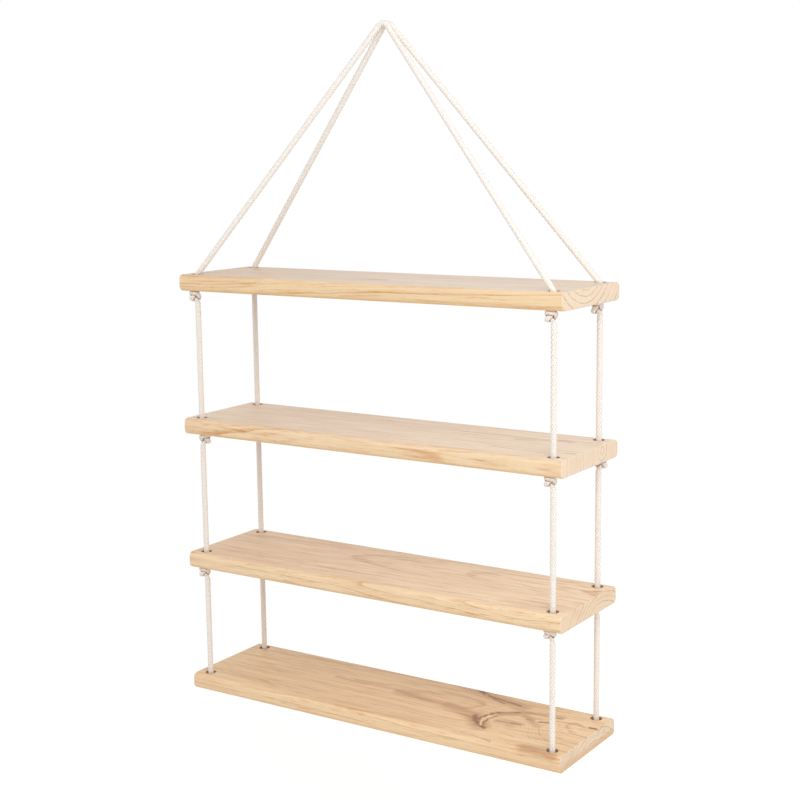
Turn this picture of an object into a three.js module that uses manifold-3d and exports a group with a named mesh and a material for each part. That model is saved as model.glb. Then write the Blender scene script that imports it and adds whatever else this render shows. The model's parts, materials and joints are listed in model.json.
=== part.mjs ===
// Hanging shelf: four pine boards on two cotton ropes that pass over one hook.
// Millimetres, +Z up, +X to the right along the boards, -Y to the front.
// The origin is where the two rope bights rest on the hook.
import * as THREE from 'three';
import { mergeVertices } from 'three/addons/utils/BufferGeometryUtils.js';
import Module from 'manifold-3d';

const wasm = await Module();
wasm.setup();

// Boards
const boardLength = 600;
const boardDepth = 160;
const boardThickness = 23;
const boardEdgeRadius = 7;
const boardEndBevel = 1.2;

// Heights: the hook to the first board's top, then from top to top
const topBoardDrop = 328;
const boardSpacings = [204.5, 196.5, 183];

// Rope holes near the corners of each board
const holeRadius = 7.5;
const holeEndInset = 19.2;
const holeSideInset = 16.4;
const holeMouthChamfer = 0.8;

// Recesses under the lowest board that take its end knots
const recessRadius = 10.8;
const recessDepth = 14;

// Rope
const ropeRadius = 4;
const hookRadius = 4.5;
const mouthBendRadius = 12;
const mouthBendDepth = 1.5;

// Knots: the strand is drawn thin inside a knot
const knotStrandRadius = 2.4;
const knotStrandGap = 0.65;
const knotSideShift = 3;
const recessedSideShift = 1.5;
const knotNeckLength = 6.5;
const endTailLength = 2.5;

// Where the rope bends freely above a board's hole
const bendRise = 5;

// Clearances
const touchGap = 0.3;
const bendGap = 0.4;
const cutOverrun = 1;

// Faceting
const ropeSides = 8;
const knotSteps = 23;
const arcSteps = 4;
const bendRows = 6;
const cupSteps = 2;
const edgeSteps = 3;
const bevelSteps = 2;
const holeSides = 14;

// Colours
const pineColour = '#e2c39a';
const ropeColour = '#ece6dc';

// Corners in one order everywhere; a side is a share of the hole's distance from the middle
const corners = [
  { name: 'front_left', sideX: -1, sideY: -1 },
  { name: 'front_right', sideX: 1, sideY: -1 },
  { name: 'back_left', sideX: -1, sideY: 1 },
  { name: 'back_right', sideX: 1, sideY: 1 },
];

// The side that each knot bulges to, in degrees from +X, board by board in the corners' order
const knotBulgeAngles = [
  [208, 222, 196, 214],
  [30, 205, 218, 44],
  [216, 198, 228, 206],
  [200, 30, 150, 320],
];
// 1 for a knot tied one way round, -1 for its mirror image
const knotHands = [
  [1, -1, 1, 1],
  [-1, 1, -1, -1],
  [1, 1, -1, 1],
  [1, -1, 1, -1],
];

// Half of an overhand knot's route, from its middle to its lower end, as shares of the
// distance between strands. The other half is the same route turned half round about Y.
const knotRouteShares = [
  [0.54, 0.8, 0.42],
  [0.95, 0.52, 0.89],
  [1.07, -0.35, 1.13],
  [0.46, -0.93, 1.04],
  [-0.32, -1, 0.67],
  [-0.53, -0.62, 0],
  [-0.22, -0.11, -0.56],
];
const knotMiddleShare = 0.83;
const knotTopShare = 1.14;

const pine = new THREE.MeshStandardMaterial({ color: pineColour, roughness: 0.6, metalness: 0 });
const cotton = new THREE.MeshStandardMaterial({ color: ropeColour, roughness: 0.9, metalness: 0 });

const shelf = new THREE.Group();
const holeX = boardLength / 2 - holeEndInset;
const holeY = boardDepth / 2 - holeSideInset;
const boardTops = boardSpacings.reduce(
  (tops, spacing) => [...tops, tops[tops.length - 1] - spacing],
  [-topBoardDrop],
);
const lowestBoard = boardTops.length - 1;

function addPiece(name, geometry, material) {
  const mesh = new THREE.Mesh(geometry, material.clone());
  mesh.name = name;
  shelf.add(mesh);
  return mesh;
}

// A closed mesh as a solid that can be cut: bare positions, merged, with no flat triangles
function toSolid(geometry) {
  const bare = new THREE.BufferGeometry();
  bare.setAttribute('position', geometry.getAttribute('position').clone());
  if (geometry.index) bare.setIndex(geometry.index.clone());
  const merged = mergeVertices(bare);
  const triVerts = [];
  const index = merged.index.array;
  for (let i = 0; i < index.length; i += 3) {
    const [a, b, c] = [index[i], index[i + 1], index[i + 2]];
    if (a !== b && b !== c && c !== a) triVerts.push(a, b, c);
  }
  const mesh = new wasm.Mesh({
    numProp: 3,
    vertProperties: new Float32Array(merged.getAttribute('position').array),
    triVerts: new Uint32Array(triVerts),
  });
  return new wasm.Manifold(mesh);
}

function toGeometry(solid) {
  const mesh = solid.getMesh();
  const geometry = new THREE.BufferGeometry();
  geometry.setAttribute('position', new THREE.BufferAttribute(mesh.vertProperties, 3));
  geometry.setIndex(new THREE.BufferAttribute(mesh.triVerts, 1));
  geometry.computeVertexNormals();
  return geometry;
}

// The board's section: a rectangle with four round corners, its top on the line y = 0
function boardSection() {
  const halfDepth = boardDepth / 2;
  const section = new THREE.Shape();
  const arcs = [
    { x: halfDepth - boardEdgeRadius, y: -boardEdgeRadius, turn: 0 },
    { x: boardEdgeRadius - halfDepth, y: -boardEdgeRadius, turn: 1 },
    { x: boardEdgeRadius - halfDepth, y: boardEdgeRadius - boardThickness, turn: 2 },
    { x: halfDepth - boardEdgeRadius, y: boardEdgeRadius - boardThickness, turn: 3 },
  ];
  for (const { x, y, turn } of arcs) {
    const start = (turn * Math.PI) / 2;
    section.absarc(x, y, boardEdgeRadius, start, start + Math.PI / 2, false);
  }
  return section;
}

function boardBlank() {
  const blank = new THREE.ExtrudeGeometry(boardSection(), {
    depth: boardLength - 2 * boardEndBevel,
    curveSegments: edgeSteps,
    bevelThickness: boardEndBevel,
    bevelSize: boardEndBevel,
    bevelOffset: -boardEndBevel,
    bevelSegments: bevelSteps,
  });
  blank.translate(0, 0, boardEndBevel - boardLength / 2);
  const alongX = new THREE.Matrix4().makeBasis(
    new THREE.Vector3(0, 1, 0),
    new THREE.Vector3(0, 0, 1),
    new THREE.Vector3(1, 0, 0),
  );
  return blank.applyMatrix4(alongX);
}

// The tool for one rope hole, with chamfered mouths and, where the knot sinks in, a recess
function holeTool(recessed) {
  const mouthRadius = holeRadius + holeMouthChamfer + cutOverrun;
  const lowerRadius = recessed ? recessRadius : holeRadius;
  const profile = [
    [0, -boardThickness - cutOverrun],
    [lowerRadius + holeMouthChamfer + cutOverrun, -boardThickness - cutOverrun],
    [lowerRadius, holeMouthChamfer - boardThickness],
  ];
  if (recessed) {
    profile.push([recessRadius, recessDepth - boardThickness]);
    profile.push([holeRadius, recessDepth - boardThickness]);
  }
  profile.push([holeRadius, -holeMouthChamfer], [mouthRadius, cutOverrun], [0, cutOverrun]);
  const tool = new THREE.LatheGeometry(
    profile.map(([radius, height]) => new THREE.Vector2(radius, height)),
    holeSides,
  );
  return tool.rotateX(Math.PI / 2);
}

function makeBoard(recessed) {
  let board = toSolid(boardBlank());
  for (const { sideX, sideY } of corners) {
    const tool = holeTool(recessed);
    tool.translate(sideX * holeX, sideY * holeY, 0);
    board = board.subtract(toSolid(tool));
  }
  return toGeometry(board);
}

boardTops.forEach((top, row) => {
  const board = addPiece(`board_${row + 1}`, makeBoard(row === lowestBoard), pine);
  board.position.z = top;
});

// Rope: a solid swept through rings, each with its middle and its radius
const vector = (x, y, z) => new THREE.Vector3(x, y, z);

function sweep(rings, sides = ropeSides) {
  const count = rings.length;
  const positions = [];
  const index = [];
  let side = null;
  rings.forEach(({ middle, radius }, i) => {
    const before = rings[Math.max(i - 1, 0)].middle;
    const after = rings[Math.min(i + 1, count - 1)].middle;
    const along = rings[i].along ?? after.clone().sub(before).normalize();
    if (!side) side = vector(1, 0, 0).cross(along).normalize();
    side = side.sub(along.clone().multiplyScalar(side.dot(along))).normalize();
    const other = along.clone().cross(side);
    for (let k = 0; k < sides; k += 1) {
      const angle = (2 * Math.PI * k) / sides;
      const point = middle.clone();
      point.addScaledVector(side, radius * Math.cos(angle));
      point.addScaledVector(other, radius * Math.sin(angle));
      positions.push(point.x, point.y, point.z);
    }
  });
  for (let i = 0; i < count - 1; i += 1) {
    for (let k = 0; k < sides; k += 1) {
      const next = (k + 1) % sides;
      const [a, b] = [i * sides + k, i * sides + next];
      const [c, d] = [a + sides, b + sides];
      index.push(a, b, d, a, d, c);
    }
  }
  const tips = [rings[0], rings[count - 1]].map(({ tip, middle }) => tip ?? middle);
  for (const tip of tips) positions.push(tip.x, tip.y, tip.z);
  for (let k = 0; k < sides; k += 1) {
    const next = (k + 1) % sides;
    const last = (count - 1) * sides;
    index.push(count * sides, next, k);
    index.push(count * sides + 1, last + k, last + next);
  }
  const geometry = new THREE.BufferGeometry();
  geometry.setAttribute('position', new THREE.Float32BufferAttribute(positions, 3));
  geometry.setIndex(index);
  geometry.computeVertexNormals();
  return geometry;
}

// The hollow end that turns on a bend: rings on a sphere round the pivot, the widest last.
// away is the direction from the pivot into the rope.
const cupRadius = ropeRadius + bendGap;

function cupRings(pivot, away, opensFirst) {
  const rimAngle = Math.asin(ropeRadius / cupRadius);
  const along = opensFirst ? away.clone() : away.clone().negate();
  const rings = [];
  for (let i = 1; i <= cupSteps; i += 1) {
    const angle = (rimAngle * i) / cupSteps;
    rings.push({
      middle: pivot.clone().addScaledVector(away, cupRadius * Math.cos(angle)),
      radius: cupRadius * Math.sin(angle),
      along,
    });
  }
  rings[0].tip = pivot.clone().addScaledVector(away, cupRadius);
  return opensFirst ? rings : rings.reverse();
}

// Heights that the knots and bends share
const strandPitch = 2 * knotStrandRadius + knotStrandGap;
const knotHalfHeight = knotTopShare * strandPitch + knotStrandRadius;
const boardBottom = (row) => boardTops[row] - boardThickness;
const knotSeat = (row) => boardBottom(row) + (row === lowestBoard ? recessDepth : 0);
const knotMiddle = (row) => knotSeat(row) - touchGap - knotHalfHeight;
const upperPivot = (row) => knotMiddle(row) - knotHalfHeight - knotNeckLength - cupRadius;
const lowerPivot = (row) => boardTops[row] + bendRise;

// The knot's own rings, from top to bottom, about its middle and bulging to one side
function knotRings(row, cornerIndex) {
  const bulge = THREE.MathUtils.degToRad(knotBulgeAngles[row][cornerIndex]);
  const hand = knotHands[row][cornerIndex];
  const shift = row === lowestBoard ? recessedSideShift : knotSideShift;
  const lowerHalf = knotRouteShares.map(([x, y, z]) => vector(x, y, z));
  const upperHalf = lowerHalf.map(({ x, y, z }) => vector(-x, y, -z)).reverse();
  const shares = [...upperHalf, vector(0, knotMiddleShare, 0), ...lowerHalf];
  const end = knotHalfHeight / strandPitch;
  const route = [vector(0, 0, end), ...shares, vector(0, 0, -end)];
  const curve = new THREE.CatmullRomCurve3(route, false, 'centripetal');
  const growFrom = knotHalfHeight - knotStrandRadius;
  return curve.getSpacedPoints(knotSteps).map((share) => {
    const point = share.multiplyScalar(strandPitch);
    point.x *= hand;
    point.applyAxisAngle(vector(0, 0, 1), bulge + Math.PI / 2);
    const onAxis = Math.hypot(point.x, point.y) < knotStrandRadius;
    const rise = Math.abs(point.z);
    const grown = onAxis ? THREE.MathUtils.smoothstep(rise, growFrom, knotHalfHeight) : 0;
    const radius = knotStrandRadius + grown * (ropeRadius - knotStrandRadius) / 2;
    point.x += shift * Math.cos(bulge);
    point.y += shift * Math.sin(bulge);
    return { middle: point, radius };
  });
}

// The least gap between strands of a knot that aren't neighbours along the rope
function leastGap(rings) {
  let travelled = 0;
  const lengths = rings.map(({ middle }, i) => {
    travelled += i ? middle.distanceTo(rings[i - 1].middle) : 0;
    return travelled;
  });
  let gap = Infinity;
  rings.forEach((one, i) => {
    rings.slice(i + 1).forEach((two, k) => {
      const apart = lengths[i + 1 + k] - lengths[i];
      if (apart < Math.PI * ropeRadius) return;
      gap = Math.min(gap, one.middle.distanceTo(two.middle) - one.radius - two.radius);
    });
  });
  return gap;
}

const down = vector(0, 0, -1);
const up = vector(0, 0, 1);

function knotStretch(row, cornerIndex) {
  const knot = knotRings(row, cornerIndex);
  knot.forEach(({ middle }) => {
    middle.z += knotMiddle(row);
  });
  const rings = [];
  if (row === 0) {
    const start = boardTops[row] - boardThickness / 2 - touchGap;
    rings.push({ middle: vector(0, 0, start), radius: ropeRadius, along: down });
  } else {
    rings.push(...cupRings(vector(0, 0, lowerPivot(row)), down, true));
    rings.push({ middle: vector(0, 0, boardTops[row]), radius: ropeRadius, along: down });
  }
  rings.push(...knot);
  const neckEnd = knotMiddle(row) - knotHalfHeight - knotNeckLength;
  if (row === lowestBoard) {
    const tail = knotMiddle(row) - knotHalfHeight - endTailLength;
    rings.push({ middle: vector(0, 0, tail), radius: ropeRadius, along: down });
  } else {
    rings.push({ middle: vector(0, 0, neckEnd), radius: ropeRadius, along: down });
    rings.push(...cupRings(vector(0, 0, upperPivot(row)), up, false));
  }
  return rings;
}

let knotGap = Infinity;
boardTops.forEach((top, row) => {
  corners.forEach(({ name, sideX, sideY }, cornerIndex) => {
    const rings = knotStretch(row, cornerIndex);
    knotGap = Math.min(knotGap, leastGap(rings));
    const knot = addPiece(`knot_${row + 1}_${name}`, sweep(rings), cotton);
    knot.position.set(sideX * holeX, sideY * holeY, 0);
  });
});
console.log(`least gap between a knot's strands: ${knotGap.toFixed(2)} mm`);

// The ropes between two boards, with a round bend at each end that the rope turns on
function spanGeometry(low, high) {
  const lower = cupRings(vector(0, 0, low), up, true);
  const upper = cupRings(vector(0, 0, high), down, false);
  return sweep([...lower, ...upper]);
}

function bendGeometry() {
  return new THREE.SphereGeometry(ropeRadius, ropeSides, bendRows).rotateX(Math.PI / 2);
}

for (let row = 1; row < boardTops.length; row += 1) {
  const low = lowerPivot(row);
  const high = upperPivot(row - 1);
  for (const { name, sideX, sideY } of corners) {
    const span = addPiece(`span_${row + 1}_${name}`, spanGeometry(low, high), cotton);
    span.position.set(sideX * holeX, sideY * holeY, 0);
    const upper = addPiece(`bend_upper_${row + 1}_${name}`, bendGeometry(), cotton);
    upper.position.set(sideX * holeX, sideY * holeY, high);
    const lower = addPiece(`bend_lower_${row + 1}_${name}`, bendGeometry(), cotton);
    lower.position.set(sideX * holeX, sideY * holeY, low);
  }
}

// A rope's route through corner points, each rounded by an arc of its own radius
function roundedRoute(points, radii) {
  const route = [points[0]];
  for (let i = 1; i < points.length - 1; i += 1) {
    const corner = points[i];
    const inward = points[i - 1].clone().sub(corner).normalize();
    const outward = points[i + 1].clone().sub(corner).normalize();
    const turn = Math.PI - inward.angleTo(outward);
    const setback = radii[i - 1] * Math.tan(turn / 2);
    const start = corner.clone().addScaledVector(inward, setback);
    const bisector = inward.clone().add(outward).normalize();
    const centre = corner.clone().addScaledVector(bisector, radii[i - 1] / Math.cos(turn / 2));
    const axis = inward.clone().cross(outward).normalize();
    for (let k = 0; k <= arcSteps; k += 1) {
      const spoke = start.clone().sub(centre);
      spoke.applyAxisAngle(axis, (-turn * k) / arcSteps);
      route.push(centre.clone().add(spoke));
    }
  }
  route.push(points[points.length - 1]);
  return route;
}

// Each rope from mid board on the left, over the hook, to mid board on the right
function slingRings(sideY) {
  const archRadius = hookRadius + ropeRadius;
  const besideY = sideY * (ropeRadius + touchGap / 2);
  const mouth = boardTops[0] - mouthBendDepth;
  const start = boardTops[0] - boardThickness / 2;
  const slope = Math.atan2(Math.hypot(holeX, holeY - Math.abs(besideY)), ropeRadius - mouth);
  const peak = ropeRadius + archRadius * (1 / Math.sin(slope) - 1);
  const corner = (x, z) => vector(x, sideY * holeY, z);
  const points = [
    corner(-holeX, start),
    corner(-holeX, mouth),
    vector(0, besideY, peak),
    corner(holeX, mouth),
    corner(holeX, start),
  ];
  const route = roundedRoute(points, [mouthBendRadius, archRadius, mouthBendRadius]);
  const rings = route.map((middle) => ({ middle, radius: ropeRadius }));
  rings[0].along = up;
  rings[rings.length - 1].along = down;
  return rings;
}

addPiece('sling_front', sweep(slingRings(-1)), cotton);
addPiece('sling_back', sweep(slingRings(1)), cotton);

export default shelf;
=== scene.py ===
"""Hanging shelf of four pine boards on two braided cotton ropes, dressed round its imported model.

Metres, in the model's own frame: +Z up, +X along the boards, -Y to the front, and the origin
where the two rope bights rest on the hook. Inside the materials, places are in millimetres.
"""

import json
import math

import bpy
import numpy as np
from mathutils import Matrix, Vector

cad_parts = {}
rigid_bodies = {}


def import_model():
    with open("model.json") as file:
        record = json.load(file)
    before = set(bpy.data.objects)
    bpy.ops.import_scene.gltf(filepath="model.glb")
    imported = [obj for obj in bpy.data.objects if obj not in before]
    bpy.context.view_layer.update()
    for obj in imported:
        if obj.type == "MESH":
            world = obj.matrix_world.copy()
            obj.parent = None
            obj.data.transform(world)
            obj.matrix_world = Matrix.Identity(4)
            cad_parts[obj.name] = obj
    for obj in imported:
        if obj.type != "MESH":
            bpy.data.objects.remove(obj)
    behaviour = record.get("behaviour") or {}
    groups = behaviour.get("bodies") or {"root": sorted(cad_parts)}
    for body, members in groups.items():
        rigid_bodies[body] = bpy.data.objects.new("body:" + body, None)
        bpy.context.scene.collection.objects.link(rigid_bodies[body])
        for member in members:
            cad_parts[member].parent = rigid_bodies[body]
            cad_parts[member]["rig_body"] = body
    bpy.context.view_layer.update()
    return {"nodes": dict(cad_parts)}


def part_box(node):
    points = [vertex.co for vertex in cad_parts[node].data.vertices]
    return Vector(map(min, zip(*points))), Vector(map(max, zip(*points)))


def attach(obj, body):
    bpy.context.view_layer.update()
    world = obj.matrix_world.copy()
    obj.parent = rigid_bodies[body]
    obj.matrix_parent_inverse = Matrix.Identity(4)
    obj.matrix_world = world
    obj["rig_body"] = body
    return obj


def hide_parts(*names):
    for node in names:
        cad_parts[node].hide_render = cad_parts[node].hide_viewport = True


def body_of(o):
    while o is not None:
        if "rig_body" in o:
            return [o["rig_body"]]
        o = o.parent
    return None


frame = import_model()

bl_info = {
    "name": "Hanging rope shelf",
    "version": (1, 0, 0),
    "blender": (4, 5, 0),
    "location": "3D View > Sidebar > Rope shelf",
    "description": "Builds a shelf of four moulded pine boards on two braided cotton ropes",
    "category": "Object",
}

MM = 0.001

# Corners in one order everywhere, with the side of the middle that each lies on
CORNERS = (("front_left", -1, -1), ("front_right", 1, -1), ("back_left", -1, 1), ("back_right", 1, 1))
BOARD_NAMES = ("board_1", "board_2", "board_3", "board_4")
LOWEST = len(BOARD_NAMES) - 1

# The boards' places come from the model
BOARD_BOXES = [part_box(name) for name in BOARD_NAMES]
BOARD_TOPS = [high[2] for low, high in BOARD_BOXES]
BOARD_BOTTOMS = [low[2] for low, high in BOARD_BOXES]
BOARD_LENGTH = BOARD_BOXES[0][1][0] - BOARD_BOXES[0][0][0]
BOARD_DEPTH = BOARD_BOXES[0][1][1] - BOARD_BOXES[0][0][1]
BOARD_THICKNESS = BOARD_TOPS[0] - BOARD_BOTTOMS[0]

# Holes, as the model has them
HOLE_END_INSET = 19.2 * MM
HOLE_SIDE_INSET = 16.4 * MM
HOLE_X = BOARD_LENGTH / 2 - HOLE_END_INSET
HOLE_Y = BOARD_DEPTH / 2 - HOLE_SIDE_INSET

# The sling's route, as the model has it, and the share of the braid's relief that its load leaves
HOOK_RADIUS = 4.5 * MM
MOUTH_BEND_RADIUS = 12 * MM
MOUTH_BEND_DEPTH = 1.5 * MM
SLING_GAP = 0.3 * MM
SLING_RELIEF = 0.62

# Knots, as the model has them: the scale of the route and the strand that it was tied with, the
# neck below, how far a knot leans off the hole's axis, the last tail, and the gaps
KNOT_PITCH = 5.45 * MM
KNOT_MODEL_STRAND = 2.4 * MM
KNOT_NECK = 6.5 * MM
KNOT_SHIFT = 3 * MM
RECESSED_SHIFT = 1.5 * MM
END_TAIL = 2.5 * MM
TOUCH_GAP = 0.3 * MM
BEND_GAP = 0.4 * MM
BEND_RISE = 5 * MM

# For each board and corner: the way that its knot bulges, in degrees from +X, which of two mirror
# images it is, and the share of its height that it keeps when it is pulled tight, from its top
KNOT_BULGES = ((208, 222, 196, 214), (30, 205, 218, 44), (216, 198, 228, 206), (200, 30, 150, 320))
KNOT_HANDS = ((1, 1, 1, 1), (-1, 1, -1, -1), (1, 1, -1, 1), (1, -1, 1, -1))
KNOT_TIGHTNESS = (
    (0.84, 0.80, 0.84, 1),
    (0.84, 0.80, 0.84, 0.84),
    (0.84, 0.72, 0.84, 0.72),
    (0.84, 0.84, 0.84, 0.84),
)

# The second half of a knot's route, as points in pitches from its middle. The first half is the
# same turned half round about Y, and they meet at the middle share
KNOT_ROUTE_SHARES = (
    (0.54, 0.8, 0.42),
    (0.95, 0.52, 0.89),
    (1.07, -0.35, 1.13),
    (0.46, -0.93, 1.04),
    (-0.32, -1, 0.67),
    (-0.53, -0.62, 0),
    (-0.22, -0.11, -0.56),
)
KNOT_MIDDLE_SHARE = 0.83
KNOT_TOP_SHARE = 1.14
KNOT_HALF = KNOT_TOP_SHARE * KNOT_PITCH + KNOT_MODEL_STRAND


def linear(red, green, blue):
    """A colour given as it looks, 0 to 255 a channel, as the linear values that lamps add up."""
    shares = (red / 255, green / 255, blue / 255)
    return tuple(s / 12.92 if s <= 0.04045 else ((s + 0.055) / 1.055) ** 2.4 for s in shares)


# Settings


def length_setting(name, description, default):
    return bpy.props.FloatProperty(
        name=name, description=description, default=default, min=0, unit="LENGTH", precision=4
    )


def colour_setting(name, description, default):
    return bpy.props.FloatVectorProperty(
        name=name, description=description, default=default, subtype="COLOR", min=0, max=1
    )


def share_setting(name, description, default):
    return bpy.props.FloatProperty(
        name=name, description=description, default=default, min=0, max=1, subtype="FACTOR"
    )


class PineSettings(bpy.types.PropertyGroup):
    """Sizes and colours of the boards."""

    edge_radius: length_setting("Edge radius", "Rounding of the long edges", 7 * MM)
    end_bevel: length_setting("End bevel", "Rounding of the edges of the ends", 1.2 * MM)
    hole_radius: length_setting("Hole radius", "Radius of the rope holes", 7.5 * MM)
    hole_rounding: length_setting("Hole rounding", "Rounding of the holes' mouths", 0.4 * MM)
    recess_radius: length_setting("Recess radius", "Radius of the recesses for the end knots", 10.8 * MM)
    recess_depth: length_setting("Recess depth", "Depth of the recesses for the end knots", 14 * MM)
    pale: colour_setting("Pale wood", "Wood grown in spring", linear(243, 217, 178))
    growth: colour_setting("Growth line", "Denser wood at the end of each year", linear(208, 146, 88))
    bark: colour_setting("Bark", "Bark caught in the wood round a branch", linear(132, 82, 46))
    # Painted shade: a dark brown on the walls of the holes
    bore: colour_setting("Holes", "Wood inside the holes, darkened by the drill", linear(142, 88, 54))
    # Painted shade and bounced light: a saturated orange on the lower rounding of the long edges
    lower_edge_shading: colour_setting("Lower edges", "Where oil has run and darkened", linear(250, 204, 138))
    roughness: share_setting("Roughness", "Roughness of the oiled wood", 0.42)


class RopeSettings(bpy.types.PropertyGroup):
    """Sizes and colours of the rope."""

    diameter: length_setting("Diameter", "Diameter over the braid's crowns", 8 * MM)
    braid_depth: length_setting("Braid depth", "From the braid's crowns to its hollows", 1.0 * MM)
    strand_spacing: length_setting("Strand spacing", "Length along the rope that one strand covers", 6.1 * MM)
    strands: bpy.props.IntProperty(
        name="Strands", description="Strands that wind each way round the rope", default=6, min=4
    )
    knot_strand: length_setting("Knotted radius", "Radius of the rope pulled tight in a knot", 3.25 * MM)
    cotton: colour_setting("Cotton", "Undyed cotton on the crowns", linear(251, 246, 240))
    # Painted shade: cotton darkened in the braid's hollows, between yarns and on one family of strands
    braid_shade: colour_setting("Hollows", "Cotton in the braid's hollows", linear(198, 166, 142))
    # Painted shade where a knot's strands touch each other and the board
    crease_shade: colour_setting("Creases", "Cotton where a knot's strands touch", linear(164, 116, 78))
    husk: colour_setting("Husk", "Flecks of seed husk in the cotton", linear(196, 164, 128))
    roughness: share_setting("Roughness", "Roughness of the cotton", 0.9)


class StageSettings(bpy.types.PropertyGroup):
    """Camera, lamps and floor."""

    camera_place: bpy.props.FloatVectorProperty(
        name="Camera", description="Place of the camera", subtype="TRANSLATION", unit="LENGTH",
        default=(1.1190, -1.6876, -0.1499),
    )
    yaw: bpy.props.FloatProperty(
        name="Yaw", description="Turn of the camera to the left", subtype="ANGLE",
        default=math.radians(33.182),
    )
    pitch: bpy.props.FloatProperty(
        name="Pitch", description="Tilt of the camera, below the horizon if negative",
        subtype="ANGLE", default=math.radians(-9.64),
    )
    roll: bpy.props.FloatProperty(
        name="Roll", description="Roll of the camera about its own view", subtype="ANGLE",
        default=math.radians(-0.736),
    )
    lens: bpy.props.FloatProperty(
        name="Focal length", description="Focal length in millimetres", default=68.13, min=1
    )
    floor_drop: length_setting("Floor drop", "From the lowest board down to the floor", 0.30)
    world_level: share_setting("World level", "Light from all round, as a share of full light", 0.55)
    floor: colour_setting("Floor", "Colour of the floor", linear(244, 243, 241))


# Shader expressions

# How far each seed moves a noise, so that no two are alike
NOISE_SHIFT = (17.3, 5.9, 11.1)


def math_step(operation):
    """A method that adds a Math node with that operation."""

    def step(self, *others):
        return self.math(operation, self, *others)

    return step


class Signal:
    """A number that varies over a surface. Arithmetic on it adds Math nodes."""

    def __init__(self, finish, socket):
        self.finish, self.socket = finish, socket

    def math(self, operation, *values):
        node = self.finish.node("ShaderNodeMath", {"operation": operation}, dict(enumerate(values)))
        return Signal(self.finish, node.outputs[0])

    def __rsub__(self, other):
        return self.math("SUBTRACT", other, self)

    __add__ = __radd__ = math_step("ADD")
    __mul__ = __rmul__ = math_step("MULTIPLY")
    __sub__ = math_step("SUBTRACT")
    __truediv__ = math_step("DIVIDE")
    sine = math_step("SINE")
    root = math_step("SQRT")
    floor = math_step("FLOOR")
    part = math_step("FRACT")
    size = math_step("ABSOLUTE")
    exponential = math_step("EXPONENT")
    greater = math_step("MAXIMUM")
    lesser = math_step("MINIMUM")

    def rising(self, start, end):
        """Goes smoothly from 0 where the signal is at start to 1 where it is at end."""
        node = self.finish.node(
            "ShaderNodeMapRange",
            {"interpolation_type": "SMOOTHSTEP"},
            {"Value": self, "From Min": start, "From Max": end},
        )
        return Signal(self.finish, node.outputs["Result"])


class Finish:
    """The nodes of a material or of the world, under construction."""

    def __init__(self, owner):
        owner.use_nodes = True
        self.owner, self.tree = owner, owner.node_tree
        self.tree.nodes.clear()

    def node(self, kind, settings=None, values=None):
        """A node of that type: its settings first, then its sockets' values or links."""
        node = self.tree.nodes.new(kind)
        for key, value in (settings or {}).items():
            setattr(node, key, value)
        for key, value in (values or {}).items():
            socket = node.inputs[key]
            if isinstance(value, Signal):
                self.tree.links.new(value.socket, socket)
            elif isinstance(value, bpy.types.NodeSocket):
                self.tree.links.new(value, socket)
            elif socket.type == "RGBA" and len(value) == 3:
                socket.default_value = (*value, 1)
            else:
                socket.default_value = value
        return node

    def parts(self, vector):
        """The three numbers of a vector."""
        node = self.node("ShaderNodeSeparateXYZ", None, {0: vector})
        return [Signal(self, output) for output in node.outputs]

    def vector(self, *values):
        return self.node("ShaderNodeCombineXYZ", None, dict(enumerate(values))).outputs[0]

    def place(self):
        """Object coordinates in millimetres."""
        return self.vectors("SCALE", self.node("ShaderNodeTexCoord").outputs["Object"], 1 / MM)

    def noise(self, vector, per_mm, seed=0, detail=2.0, roughness=0.5):
        """Smooth noise about 0, from -0.5 to 0.5, with that many waves a millimetre each way."""
        shift = tuple(seed * v for v in NOISE_SHIFT)
        values = {"Vector": vector, "Location": shift, "Scale": per_mm}
        scaled = self.node("ShaderNodeMapping", None, values)
        noise = self.node(
            "ShaderNodeTexNoise",
            {"noise_dimensions": "3D"},
            {"Vector": scaled.outputs[0], "Scale": 1.0, "Detail": detail, "Roughness": roughness},
        )
        return Signal(self, noise.outputs[0]) - 0.5

    def vectors(self, operation, first, second=None):
        """A Vector Math node on one or two vectors, or on a vector and a number to scale it by."""
        values = {0: first}
        if second is not None:
            values["Scale" if operation == "SCALE" else 1] = second
        node = self.node("ShaderNodeVectorMath", {"operation": operation}, values)
        return node.outputs["Value" if operation in ("DOT_PRODUCT", "LENGTH") else "Vector"]

    def chance(self, value, seed=0):
        """A random number from 0 to 1 for each whole value."""
        node = self.node("ShaderNodeTexWhiteNoise", {"noise_dimensions": "1D"}, {"W": value + seed})
        return Signal(self, node.outputs["Value"])

    def mix(self, share, first, second):
        """The first colour, with a share of the second over it."""
        settings = {"data_type": "RGBA", "clamp_factor": True}
        return self.node("ShaderNodeMix", settings, {0: share, 6: first, 7: second}).outputs[2]

    def mix_shaders(self, share, first, second):
        """The first shader, with a share of the second over it."""
        values = {0: share, 1: first.outputs[0], 2: second.outputs[0]}
        return self.node("ShaderNodeMixShader", None, values)

    def bump(self, height, strength, distance):
        values = {"Height": height, "Strength": strength, "Distance": distance}
        return self.node("ShaderNodeBump", None, values).outputs[0]

    def surface(self, values):
        """A Principled shader with these values, set as the material's surface."""
        shader = self.node("ShaderNodeBsdfPrincipled", None, values)
        self.node("ShaderNodeOutputMaterial", None, {"Surface": shader.outputs[0]})
        return self.owner
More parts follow.
